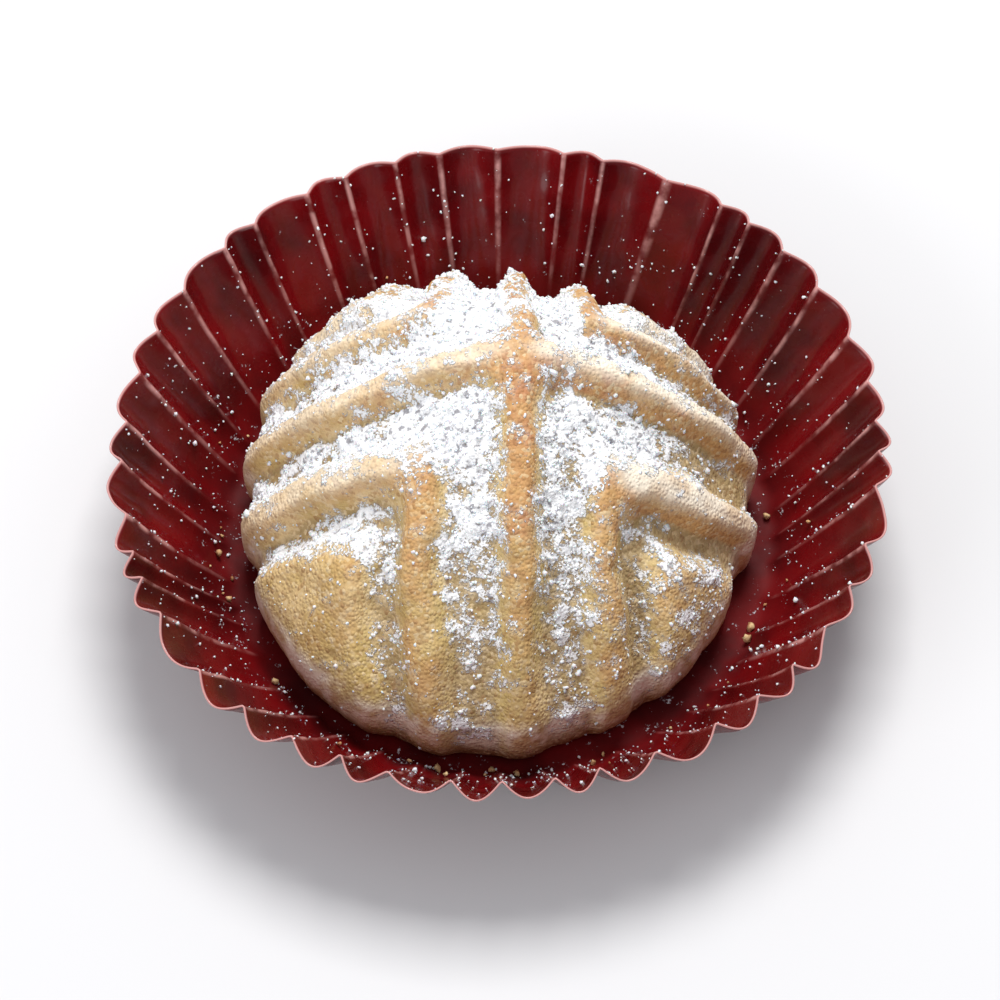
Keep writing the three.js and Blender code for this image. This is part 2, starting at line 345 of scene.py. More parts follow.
def cookie_rings():
    """The bare dough's rings, their moulded height, the outer fields and where each lies.

    A row of the outline is carried round, and the grooves are sunk along its outward
    direction by relief times (1 - face height). The pattern is read on the face unrolled
    round the apex, a little wavy, and its ridges vary in width and height.
    """
    dome = dome_rows()
    rows = np.concatenate([dome, foot_rows(dome[-1, 5])])
    radius, height, out, up, along, reach, relief = rows.T[:, :, None]
    pattern = np.linspace(0, FULL_TURN, COOKIE_STEPS_ROUND, endpoint=False)[None]
    azimuth = pattern + SPOKE_BEND * along * np.cos(pattern + SPOKE_BEND_PHASE)
    flat = np.stack([reach * np.cos(pattern), reach * np.sin(pattern), 0 * reach * pattern], -1)
    strength = smoothstep(reach, *UNEVEN_FROM)
    along_x = flat[..., 0] + uneven(flat, PATTERN_WOBBLE_X) * strength
    along_y = flat[..., 1] + uneven(flat, PATTERN_WOBBLE_Y) * strength + CROSS_SHIFT
    distance = cross_distance(along_x, along_y)
    moulded = face_height(distance + uneven(flat, RIDGE_WIDTH) * strength)
    wear = CREST_WEAR[0][0] + uneven(flat, CREST_WEAR)
    worn = 1 - wear * moulded * strength
    egg = EGG_SHARE * np.cos(azimuth - EGG_AZIMUTH) - OVAL_SHARE * np.cos(2 * azimuth)
    share = 1 + egg + CORNER_SHARE * np.cos(3 * (azimuth - CORNER_AZIMUTH))
    depth = relief * (1 - moulded * worn)
    depth += strength * (uneven(flat, DOUGH_LUMPS) + uneven(flat, DOUGH_GRIT))
    distance_out = radius * share - depth * out
    lean = (height / COOKIE_HEIGHT) ** 2
    rings = np.stack([
        distance_out * np.cos(azimuth) + APEX_SHIFT[0] * lean,
        distance_out * np.sin(azimuth) + APEX_SHIFT[1] * lean,
        height - depth * up,
    ], -1)
    field = smoothstep(distance, FIELD_FOOT, FIELD_LEVEL)
    return rings, moulded, field, along + 0 * pattern, np.stack([along_x, along_y], -1)


def sink_pits(rings, normals):
    """Small open pores: each dents the dough by depth times exp(-(distance / width)^2)."""
    rng = np.random.default_rng(seed=41)
    row = rng.integers(0, rings.shape[0] - FOOT_STEPS, PITS)
    column = rng.integers(0, rings.shape[1], PITS)
    widths, depths = rng.uniform(*PIT_WIDTHS, PITS), rng.uniform(*PIT_DEPTHS, PITS)
    dent = np.zeros(rings.shape[:2])
    for place, width, depth in zip(rings[row, column], widths, depths):
        dent += depth * np.exp(-((rings - place) ** 2).sum(-1) / width**2)
    return rings - normals * dent[..., None]


def sideways_share(flat):
    """1 where the pattern runs to the left or right, and 0 where it runs to front or back."""
    ahead = ahead_of_spoke(flat[..., 0], flat[..., 1])
    return smoothstep(np.abs(flat[..., 0]) - np.abs(ahead), -1, 3)


def ahead_of_crest(flat):
    """Distance in front of the nearest crest that runs sideways, negative behind it."""
    ahead = ahead_of_spoke(flat[..., 0], flat[..., 1])
    return ahead - CHEVRON_CREST * np.clip(np.round(ahead / CHEVRON_CREST), -1, 1)


def sugar_cover(rings, normals, moulded, field, along, flat):
    """How thickly sugar lies, 0 bare to 1 covered.

    It gathers on what faces the side that it falls from and in the grooves, but less under
    ridges that run sideways. It is rubbed off the crests, and thins out low on the front,
    most on the right. The front left field is almost bare, the front right one is half
    covered, and a small heap lies low between them. The thinning low on the front right,
    and the thin cover of its field, are partly painted shade. A pale line runs along the
    edge. What faces down is bare.
    """
    fall = SUGAR_FALLS_FROM / np.linalg.norm(SUGAR_FALLS_FROM)
    across, back = rings[..., 0] / COOKIE_RADIUS, rings[..., 1] / COOKIE_RADIUS
    groove, crest = 1 - moulded, smoothstep(moulded, 0.45, 0.95)
    caught = smoothstep(normals @ fall, 0.3, 0.98)
    under_ridge = sideways_share(flat) * smoothstep(-normals[..., 1], 0.25, 0.8)
    behind = smoothstep(back, -0.2, 0.75)
    front, right = 1 - behind, smoothstep(across, 0, 0.2)
    front_left = smoothstep(-0.6 * across - 0.8 * back, 0.2, 0.9)
    right_field = field * right * front
    right_end = smoothstep(across, 0.5, 0.85) * front
    low = smoothstep(along, 0.35, 0.9) * front * (1 - right_field)
    edge = smoothstep(along, 0.88, 1.0) * front
    heap = np.exp(-((rings[..., :2] - HEAP_PLACE) ** 2).sum(-1) / HEAP_WIDTH**2)
    cover = SUGAR_ANYWHERE + caught * (SUGAR_CAUGHT + SUGAR_CAUGHT_ON_CREST * crest)
    cover += groove * (SUGAR_IN_GROOVE + SUGAR_UNDER_RIDGE * under_ridge)
    cover += behind * (SUGAR_BEHIND + SUGAR_ON_CREST_BEHIND * crest)
    cover += SUGAR_ON_RIGHT_FIELD * right_field + SUGAR_HEAP * heap
    cover += SUGAR_FRONT_LEFT * front_left * moulded
    cover += low * (SUGAR_LOW + SUGAR_LOW_IN_GROOVE * groove)
    # Less sugar low on the front right: partly painted shade.
    cover += groove * (SUGAR_LOW_ON_RIGHT * low * right + SUGAR_AT_RIGHT_END * right_end)
    cover += edge * (SUGAR_ON_EDGE + uneven(rings, EDGE_PATCHES))
    cover += uneven(rings, SUGAR_PATCHES)
    return np.clip(cover, 0, 1) * smoothstep(normals[..., 2], -0.25, 0.3)


def right_share(rings):
    """0 on the left of the cookie, 1 on the right, and a smooth step between."""
    return smoothstep(rings[..., 0], -6, 6)


def front_slope(moulded, flat):
    """1 on the front slopes of the ridges that run sideways, 0 elsewhere."""
    ahead = ahead_of_crest(flat)
    slope = smoothstep(ahead, 0.4, 1.6) * (1 - smoothstep(ahead, CREST_FOOT, CREST_FOOT + 1))
    return slope * smoothstep(moulded, 0.02, 0.2) * sideways_share(flat)


def toast_and_slope_shade(rings, moulded, along, flat):
    """How browned the dough is, 0 pale to 1 toasted, with painted shade in the same tone.

    Raised crests are browned, most near the top and least on the ridges that run to the
    left. The front slopes of all the ridges that run sideways face away from the light, and
    their darkening in this tone is painted shade. Both are patchy.
    """
    near_top = 1 - smoothstep(along, 0.1, 1.0)
    patches = smoothstep(uneven(rings, TOAST_PATCHES), -0.5, 1.1)
    left_ridge = sideways_share(flat) * (1 - right_share(rings))
    on_crest = smoothstep(moulded, 0.5, 1) * blend(TOAST_AT_FOOT, 1, near_top)
    on_crest *= blend(0.5, 1.1, patches) * blend(1, TOAST_ON_LEFT_RIDGES, left_ridge)
    # The front slopes are darkened as painted shade.
    slope_shade = front_slope(moulded, flat) * blend(SLOPE_SHADE_ON_LEFT, 1, right_share(rings))
    return np.clip(on_crest + slope_shade * (0.15 + 0.3 * near_top + 0.5 * patches), 0, 1)


def gilding(rings, moulded, field, flat):
    """How golden the dough is, 0 to 1.

    Raised ridges are, less so the fields and the ridges that run to the left. Low on the
    front only streaks are. The front slopes of the ridges that run to the right are fully.
    """
    streaks = smoothstep(uneven(rings, GOLD_STREAKS), -0.6, 1.0)
    further_up = smoothstep(rings[..., 1] / COOKIE_RADIUS, -0.9, -0.38)
    left_ridge = sideways_share(flat) * (1 - right_share(rings))
    golden = blend(GOLD_LOW_IN_FRONT * streaks, GOLD_ON_RIDGES, further_up)
    golden *= smoothstep(moulded, 0.3, 1)
    golden *= blend(1, GOLD_ON_FIELDS, field) * blend(1, GOLD_ON_LEFT_RIDGES, left_ridge)
    right_slope = right_share(rings) * front_slope(moulded, flat)
    return np.maximum(golden, GOLD_ON_RIGHT_SLOPES * right_slope)


def greening(rings):
    """How far the dough turns olive, 0 to 1: low on the front, in cloudy patches."""
    clouds = smoothstep(uneven(rings, OLIVE_CLOUDS), -1.0, 0.8)
    low_in_front = smoothstep(-rings[..., 1] / COOKIE_RADIUS, 0.35, 0.85)
    return low_in_front * blend(OLIVE_LEAST, OLIVE_MOST, clouds)


def dust_and_crest_highlight(rings, moulded, along, flat):
    """How much the dough is lightened, 0 to 1: fine dust rubbed in, and painted highlight.

    The ridges that run sideways have it along their crests and down their backs, which face
    the light, most on the right; there it is partly dust and partly painted highlight. So
    has the widest ring in front, in a line of dust that fades towards the base. Both are
    patchy.
    """
    behind = 1 - smoothstep(ahead_of_crest(flat), 0.1, 1.5)
    patches = smoothstep(uneven(rings, DUST_PATCHES), -1.2, 0.6)
    ridge = behind * smoothstep(moulded, 0.15, 0.6) * sideways_share(flat)
    # More on the right, as painted highlight.
    ridge *= blend(DUST_AND_HIGHLIGHT_ON_LEFT, 1, right_share(rings))
    ridge *= blend(DUST_BETWEEN_PATCHES, 1, patches)
    broken = smoothstep(uneven(rings, DUST_LINE_BREAKS), -0.9, 0.9)
    line = smoothstep(along, 0.95, 1) * smoothstep(rings[..., 2], 1.0, 3.2)
    line *= 1 - smoothstep(rings[..., 1] / COOKIE_RADIUS, -0.3, 0.5)
    return np.maximum(ridge, line * blend(DUST_IN_LINE_BREAKS, 1, broken))


def underside(rings):
    """Rings that close the flat underside, the last ring drawn in to the middle."""
    shares = np.linspace(1, 0, UNDERSIDE_STEPS + 2)[1:-1, None, None]
    middle = rings[-1].mean(0)
    return middle + (rings[-1] - middle) * shares, middle


def make_cookie(material):
    """The moulded dough with its layer of sugar, standing on the paper."""
    rings, moulded, field, along, flat = cookie_rings()
    normals = ring_normals(rings)
    rings = sink_pits(rings, normals)
    cover = sugar_cover(rings, normals, moulded, field, along, flat)
    toast_and_shade = toast_and_slope_shade(rings, moulded, along, flat)
    gold = gilding(rings, moulded, field, flat)
    olive = greening(rings)
    # Rubbed-in dust, and painted highlight on the sideways ridges.
    dust = dust_and_crest_highlight(rings, moulded, along, flat)
    lumps = SUGAR_LUMP_MEAN + uneven(rings, SUGAR_LUMPS)
    layer = SUGAR_DEPTH * smoothstep(cover, 0.35, 0.95) * np.clip(lumps, 0, 2)
    rings = rings + normals * layer[..., None]
    cookie_low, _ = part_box("cookie")
    base = cookie_low.z / MM
    sunk = base - PAPER_THICKNESS - FOOT_CLEARANCE
    sunk = sunk * (1 - np.clip(rings[..., 2] / FOOT_HEIGHT, 0, 1))
    rings[..., :2] += COOKIE_PLACE
    rings[..., 2] += base - sunk
    closing, middle = underside(rings)
    apex = rings[0].mean(0)
    points = closed_points(apex, np.concatenate([rings, closing]), middle)
    below = np.zeros(closing.shape[:2])

    def on_points(values, at_top, at_base):
        """Values for every point: those of the rings, the apex's and the underside's."""
        body = np.concatenate([values, below + at_base])
        return np.concatenate([[at_top], body.ravel(), [at_base]])

    rows = len(rings) + len(closing)
    marks = {
        "sugar": on_points(cover, cover[0].mean(), 0),
        "toast_and_shade": on_points(toast_and_shade, toast_and_shade[0].mean(), 0.6),
        "raised": on_points(moulded, 1, 0.5),
        "golden": on_points(gold, 0.8, 0),
        "olive": on_points(olive, 0, 0),
        "dust_and_highlight": on_points(dust, dust[0].mean(), 0),
        "low": on_points(np.clip(1 - rings[..., 2] / (base + FOOT_HEIGHT), 0, 1), 0, 1),
    }
    faces = closed_faces(rows, COOKIE_STEPS_ROUND)
    piece = make_piece("maamoul", points, faces, material, marks)
    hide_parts("cookie")
    return rings, ring_normals(rings), cover


# ---------------------------------------------------------------- the paper cup's shape


def fold_shape(place):
    """A pleat's side, 1 on the crisp inner fold to -1 in the round outer one.

    It is 1 - 2 |sin(pi place)|, with the fold's tip rounded a little.
    """
    swing = np.sqrt(np.sin(math.pi * place) ** 2 + FOLD_TIP**2) - FOLD_TIP
    return 1 - 2 * swing / (math.sqrt(1 + FOLD_TIP**2) - FOLD_TIP)


def cup_sheet():
    """The middle of the paper sheet from its centre to the rim, as rings of points.

    Rows run along a floor, a quadratic bend and a slanting wall whose flare sways round
    the cup. The pleats shift the sheet along the wall's inward direction, from nothing at
    the floor's edge to their full depth at the rim, each of its own width and depth.
    """
    columns = PLEAT_COUNT * STEPS_PER_PLEAT
    azimuth = np.linspace(0, FULL_TURN, columns, endpoint=False)[None]
    level = PAPER_THICKNESS / 2
    run, rise = CUP_RIM_RADIUS - CUP_FLOOR_RADIUS, CUP_HEIGHT - level
    sway = RIM_SWAY * (np.cos(2 * azimuth + 0.9) + np.cos(4 * azimuth) / 2)
    flare = math.atan2(rise, run) + sway
    slant = math.hypot(run, rise)
    floor = np.linspace(0, CUP_FLOOR_RADIUS - CUP_BEND, CUP_FLOOR_STEPS + 1)[1:, None]
    bend = np.linspace(0, 1, CUP_BEND_STEPS + 1)[1:, None]
    up = np.linspace(0, 1, CUP_WALL_STEPS + 1)[1:, None]
    far = blend(CUP_BEND, slant, up)
    bow = WALL_BOW * np.sin(math.pi * up)
    radius = np.concatenate([
        floor + 0 * azimuth,
        CUP_FLOOR_RADIUS - CUP_BEND * (1 - bend) ** 2 + CUP_BEND * np.cos(flare) * bend**2,
        CUP_FLOOR_RADIUS + far * np.cos(flare) + bow * np.sin(flare),
    ])
    height = np.concatenate([
        level + 0 * floor * azimuth,
        level + CUP_BEND * np.sin(flare) * bend**2,
        level + far * np.sin(flare) - bow * np.cos(flare),
    ])
    pleating = np.concatenate([
        0 * floor, PLEAT_DEPTH_AT_FLOOR * bend, blend(PLEAT_DEPTH_AT_FLOOR, 1, up)
    ])
    circle = np.stack([np.cos(azimuth), np.sin(azimuth), 0 * azimuth], -1) * UNEVEN_CIRCLE
    slip = uneven(circle, PLEAT_DRIFT) + uneven(circle, PLEAT_SLIP) * pleating
    fold = fold_shape(PLEAT_COUNT * azimuth / FULL_TURN + slip)
    strength = 1 + uneven(circle, PLEAT_STRENGTH)
    shift = pleating * PLEAT_DEPTH / 2 * strength * fold
    rings = np.stack([radius * np.cos(azimuth), radius * np.sin(azimuth), height], -1)
    shift = shift + pleating * uneven(rings, PAPER_CREASES)
    radius = radius - shift * np.sin(flare)
    height = height + shift * np.cos(flare)
    rings = np.stack([radius * np.cos(azimuth), radius * np.sin(azimuth), height], -1)
    return rings, (fold + 1) / 2 * np.clip(pleating * 3, 0, 1), pleating + 0 * azimuth


def make_cup(material):
    """The pleated sheet, thickened to both sides, its two faces joined round the rim."""
    middle, fold, pleating = cup_sheet()
    normals = ring_normals(middle)
    normals[:CUP_FLOOR_STEPS] = (0, 0, 1)
    half = PAPER_THICKNESS / 2
    inside, outside = middle + normals * half, middle - normals * half
    outside[..., 2] = np.maximum(outside[..., 2], 0)
    rings = np.concatenate([inside, outside[::-1]])
    points = closed_points((0, 0, PAPER_THICKNESS), rings, (0, 0, 0))

    def on_points(first, second):
        """Values for every point: the inner face's, then the outer face's from rim to floor."""
        return np.concatenate([[0], first.ravel(), second[::-1].ravel(), [0]])

    rim = np.zeros_like(fold)
    rim[-1] = 1
    inner = np.ones_like(fold)
    marks = {
        "fold": on_points(fold, fold),
        "rise": on_points(pleating, pleating),
        "rim": on_points(rim, rim),
        "inside": on_points(inner, 0 * inner),
    }
    faces = closed_faces(len(rings), rings.shape[1])
    piece = make_piece("pleated_cup", points, faces, material, marks)
    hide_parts("paper_case")
    return inside, normals, fold, pleating


# ---------------------------------------------------------------- sugar clumps and crumbs


def grain_points(rows, columns):
    """A ball of radius 1 as rings of points between two poles, each ring turned half a step."""
    tilt = np.linspace(0, math.pi, rows + 2)[1:-1, None]
    turn = FULL_TURN * (np.arange(columns)[None] + 0.5 * np.arange(rows)[:, None]) / columns
    rings = np.stack([
        np.sin(tilt) * np.cos(turn), np.sin(tilt) * np.sin(turn), np.cos(tilt) + 0 * turn
    ], -1)
    return closed_points((0, 0, 1), rings, (0, 0, -1))


def random_turns(rng, count):
    """Random rotations: right-angled directions from random numbers, never mirrored."""
    turns, _ = np.linalg.qr(rng.normal(size=(count, 3, 3)))
    turns[..., 0] *= np.sign(np.linalg.det(turns))[:, None]
    return turns


def pick_places(rng, rings, normals, weights, count):
    """Random places on rings, the likelier the more area times weight they have there."""
    down = np.linalg.norm(np.gradient(rings, axis=0), axis=-1)
    sideways = np.linalg.norm(np.roll(rings, -1, axis=1) - rings, axis=-1)
    chance = (weights * down * sideways).ravel()
    picked = rng.choice(chance.size, count, p=chance / chance.sum())
    row, column = np.unravel_index(picked, weights.shape)
    beside = (column + 1) % rings.shape[1]
    share = rng.uniform(0, 1, (count, 1))
    return blend(rings[row, column], rings[row, beside], share), normals[row, column]


def grain_radii(rng, count, median, spread, least, most):
    """Random radii: lognormal round the median, kept between the least and the most."""
    return np.clip(rng.lognormal(math.log(median), spread, count), least, most)


def scatter(name, rng, places, normals, radii, material, *, sink, rows, columns):
    """Many small uneven grains as one piece.

    Each rests on its lowest point along the normal, let in by the share sink of its radius,
    and none reaches into the cup's floor.
    """
    ball = grain_points(rows, columns)
    count = len(places)
    bulge = rng.normal(size=(count, len(ball), 1)).clip(-GRAIN_BULGE_LIMIT, GRAIN_BULGE_LIMIT)
    stretch = radii[:, None, None] * rng.uniform(*GRAIN_STRETCH, (count, 1, 3))
    grains = ball[None] * (1 + GRAIN_BULGE * bulge) * stretch
    grains = np.einsum("nij,nvj->nvi", random_turns(rng, count), grains)
    lowest = np.einsum("nvi,ni->nv", grains, normals).min(1)
    grains += (places - normals * (lowest + radii * sink)[:, None])[:, None]
    below_floor = PAPER_THICKNESS - grains[..., 2].min(1)
    grains[..., 2] += np.maximum(below_floor, 0)[:, None]
    offsets = (np.arange(count) * len(ball))[:, None, None]
    faces = closed_faces(rows, columns)
    faces = [(part[None] + offsets).reshape(-1, part.shape[1]) for part in faces]
    return make_piece(name, grains.reshape(-1, 3), faces, material)


def make_sugar_clumps(surface, material):
    """Clumps of powdered sugar on the dough: most where it is covered, a few on bare crests."""
    rings, normals, cover = surface
    rng = np.random.default_rng(seed=61)
    weights = 0.05 + smoothstep(cover, 0.12, 0.7)
    weights[-FOOT_STEPS:] *= 0.15
    places, facing = pick_places(rng, rings, normals, weights, SUGAR_CLUMPS)
    radii = grain_radii(rng, SUGAR_CLUMPS, *CLUMP_RADII)
    scatter("sugar_clumps", rng, places, facing, radii, material, sink=0.9, rows=2, columns=5)


def make_sugar_specks(sheet, material):
    """Specks of sugar on the cup's inner side, most on the inner folds and near the cookie."""
    rings, normals, fold, pleating = sheet
    rng = np.random.default_rng(seed=62)
    near = 1 - smoothstep(pleating, 0.3, 1.0)
    weights = (0.12 + fold**2 + 0.9 * near) * (pleating > 0)
    places, facing = pick_places(rng, rings, normals, weights, SUGAR_SPECKS_ON_CUP)
    radii = grain_radii(rng, SUGAR_SPECKS_ON_CUP, *SPECK_RADII)
    scatter("sugar_specks", rng, places, facing, radii, material, sink=0.5, rows=2, columns=5)


def make_crumbs(sheet, material):
    """Crumbs of dough that lie at the foot of the pleats."""
    rings, normals, fold, pleating = sheet
    rng = np.random.default_rng(seed=63)
    weights = (pleating > 0) * (1 - smoothstep(pleating, 0.3, 0.55)) * (1.1 - fold)
    places, facing = pick_places(rng, rings, normals, weights, CRUMBS)
    radii = grain_radii(rng, CRUMBS, *CRUMB_RADII)
    scatter(
        "crumbs", rng, places, facing, radii, material, sink=0.05, rows=4, columns=8
    )


# ---------------------------------------------------------------- materials


def screen(red, green, blue):
    """A colour given by its screen values, 0 to 255, as the linear values shaders take."""
    share = np.array([red, green, blue]) / 255
    linear = np.where(share <= 0.04045, share / 12.92, ((share + 0.055) / 1.055) ** 2.4)
    return (*linear.tolist(), 1.0)


def feed(tree, made, inputs):
    """Inputs of a node: one given as a socket is linked, and any other is set."""
    for key, value in inputs.items():
        if isinstance(value, bpy.types.NodeSocket):
            tree.links.new(value, made.inputs[key])
        else:
            made.inputs[key].default_value = value


def add(tree, kind, inputs=None, **settings):
    """A node in tree, with its settings made and its inputs linked or set."""
    made = tree.nodes.new("ShaderNode" + kind)
    for name, value in settings.items():
        setattr(made, name, value)
    feed(tree, made, inputs or {})
    return made


def mix_colours(tree, share, first, second):
    """The colour that goes from first to second as share goes from 0 to 1.

    A Mix node's colour sockets are inputs 6 and 7 and output 2.
    """
    return add(tree, "Mix", {0: share, 6: first, 7: second}, data_type="RGBA").outputs[2]


def mix_values(tree, share, first, second):
    """The value that goes from first to second as share goes from 0 to 1."""
    return add(tree, "Mix", {0: share, 2: first, 3: second}, data_type="FLOAT").outputs[0]


def noise(tree, place, size, detail=2.0):
    """Cloudy noise of 0 to 1 whose clouds are about size millimetres across."""
    inputs = {"Vector": place, "Scale": 1 / (size * MM), "Detail": detail}
    return add(tree, "TexNoise", inputs).outputs[0]


def ramp(tree, value, low, high, start=0.0, end=1.0):
    """Start below low, end above high, and a smooth step between."""
    inputs = {"Value": value, "From Min": low, "From Max": high, "To Min": start, "To Max": end}
    return add(tree, "MapRange", inputs, interpolation_type="SMOOTHSTEP").outputs[0]


def calculate(tree, operation, first, second):
    """One sum or product of two values."""
    return add(tree, "Math", {0: first, 1: second}, operation=operation).outputs[0]


def mark(tree, name):
    """The value that the piece's points carry under this name."""
    return add(tree, "Attribute", attribute_name=name).outputs["Fac"]


def object_place(tree):
    """Where the surface lies, in the object's own coordinates."""
    return add(tree, "TexCoord").outputs["Object"]


def new_group(name, inputs, outputs):
    """An empty node group with these named sockets, and its two end nodes."""
    group = bpy.data.node_groups.new(name, "ShaderNodeTree")
    for socket, kind in inputs.items():
        group.interface.new_socket(socket, in_out="INPUT", socket_type="NodeSocket" + kind)
    for socket, kind in outputs.items():
        group.interface.new_socket(socket, in_out="OUTPUT", socket_type="NodeSocket" + kind)
    return group, group.nodes.new("NodeGroupInput").outputs, group.nodes.new("NodeGroupOutput")


def powder_group():
    """Powdered sugar: how much of it shows, the height of its clumps, and painted shade for its
    hollows.

    Clumps of about half a millimetre stand where the amount, made ragged by patches, clumps
    and finer grains, is large enough. A film as dense as asked for lies between them.
    """
    inputs = {"Place": "Vector", "Amount": "Float", "Film": "Float"}
    outputs = {"Mask": "Float", "Height": "Float", "Painted Shade": "Float"}
    group, given, result = new_group("powder", inputs, outputs)

    def around_zero(value, strength):
        """Noise of 0 to 1 shifted to lie around 0, times a strength."""
        return calculate(group, "MULTIPLY", calculate(group, "SUBTRACT", value, 0.5), strength)

    patches = noise(group, given["Place"], POWDER_PATCH, 3.0)
    clumps = noise(group, given["Place"], POWDER_CLUMP)
    grains = noise(group, given["Place"], POWDER_GRAIN)
    amount = calculate(group, "ADD", given["Amount"], around_zero(patches, PATCH_STRENGTH))
    amount = calculate(group, "ADD", amount, around_zero(clumps, CLUMP_STRENGTH))
    film = calculate(group, "MULTIPLY", ramp(group, amount, 0.12, 0.95), given["Film"])
    ragged = calculate(group, "ADD", amount, around_zero(grains, GRAIN_STRENGTH))
    cover = ramp(group, ragged, 0.40, 0.62)
    group.links.new(calculate(group, "MAXIMUM", film, cover), result.inputs["Mask"])
    height = calculate(group, "ADD", clumps, calculate(group, "MULTIPLY", grains, 0.35))
    group.links.new(calculate(group, "MULTIPLY", cover, height), result.inputs["Height"])
    # The dark hollows of the clumps are painted shade.
    group.links.new(ramp(group, clumps, 0.47, 0.33), result.inputs["Painted Shade"])
    return group


def speckle_group():
    """A colour speckled with a second one, in specks and clouds of a given size."""
    inputs = {"Place": "Vector", "First": "Color", "Second": "Color", "Per Metre": "Float"}
    group, given, result = new_group("speckle", inputs, {"Color": "Color", "Height": "Float"})
    texture = {"Vector": given["Place"], "Scale": given["Per Metre"], "Detail": 4.0}
    clouds = add(group, "TexNoise", texture).outputs[0]
    share = ramp(group, clouds, 0.35, 0.68)
    speckled = mix_colours(group, share, given["First"], given["Second"])
    group.links.new(speckled, result.inputs["Color"])
    group.links.new(clouds, result.inputs["Height"])
    return group


def sand_group():
    """Grains of semolina pressed together: their rounded height and a random tone for each."""
    inputs = {"Place": "Vector", "Per Metre": "Float"}
    group, given, result = new_group("sand", inputs, {"Height": "Float", "Tone": "Float"})
    cells = add(group, "TexVoronoi", {"Vector": given["Place"], "Scale": given["Per Metre"]})
    rounded = ramp(group, cells.outputs["Distance"], 0.0, 0.75, start=1.0, end=0.0)
    group.links.new(rounded, result.inputs["Height"])
    tone = add(group, "SeparateColor", {0: cells.outputs["Color"]}).outputs[0]
    group.links.new(tone, result.inputs["Tone"])
    return group


def use_group(tree, group, inputs):
    """A node group placed in a material, with its inputs linked or set."""
    made = tree.nodes.new("ShaderNodeGroup")
    made.node_tree = group
    feed(tree, made, inputs)
    return made.outputs


def new_material(name, **constants):
    """A material's node tree and its shader, with the shader's constant values set."""
    material = bpy.data.materials.new(name)
    material.use_nodes = True
    shader = material.node_tree.nodes["Principled BSDF"]
    for key, value in constants.items():
        shader.inputs[key.replace("_", " ")].default_value = value
    return material, material.node_tree, shader


def bump(tree, shader, height, millimetres):
    """Fine relief on the shader's normal: a height of 1 stands this many millimetres high."""
    inputs = {"Height": height, "Distance": millimetres * MM, "Strength": 1.0}
    tree.links.new(add(tree, "Bump", inputs).outputs[0], shader.inputs["Normal"])


DOUGH_CLOUDS = 300.0  # cells of a texture in each metre
SEMOLINA_GRAINS = 3000.0
CRUMB_SPECKLES = 1400.0
PAPER_FIBRES = 160.0
SUGAR_FILM = 0.38  # how much a thin film of sugar hides between its clumps
DUST_AND_HIGHLIGHT_STRENGTH = 0.95  # how much the rubbed-in dust and painted highlight hide where they are full
DOUGH_RELIEF = 0.2  # heights of the fine relief, in millimetres
SUGAR_RELIEF = 0.05
CRUMB_RELIEF = 0.12
PAPER_RELIEF = 0.05
DOUGH_PALE = screen(230, 203, 151)
DOUGH_OLIVE = screen(198, 171, 106)
DOUGH_GOLDEN = screen(208, 161, 100)
# Toasted dough, also the tone of the painted shade on the front slopes.
DOUGH_TOAST_AND_SHADE = screen(190, 131, 86)
DOUGH_SEMOLINA = screen(225, 200, 156)
DOUGH_BAKED_EDGE = screen(150, 98, 58)
# Painted shade: the dough's tone in the grooves, where shade falls.
DOUGH_GROOVE_SHADE = screen(158, 132, 92)
# Rubbed-in dust, and the painted highlight on the crests and backs of the sideways ridges.
DOUGH_DUST_AND_HIGHLIGHT = screen(254, 242, 222)
SUGAR_WHITE = screen(248, 249, 251)
# The sugar's tone in shade: painted shade.
SUGAR_SHADED = screen(222, 222, 230)
# Painted shade for the hollows between the sugar's clumps.
SUGAR_PAINTED_SHADE = screen(140, 137, 144)
PAPER_DULLEST = 0.95
PAPER_RED = screen(112, 9, 14)
# The red paper's tone in shade: painted shade.
PAPER_SHADED = screen(76, 6, 10)
# Pale paper for the rim's edge, and for wear and painted highlight along the inner folds.
PAPER_PALE_AND_HIGHLIGHT = screen(222, 164, 160)


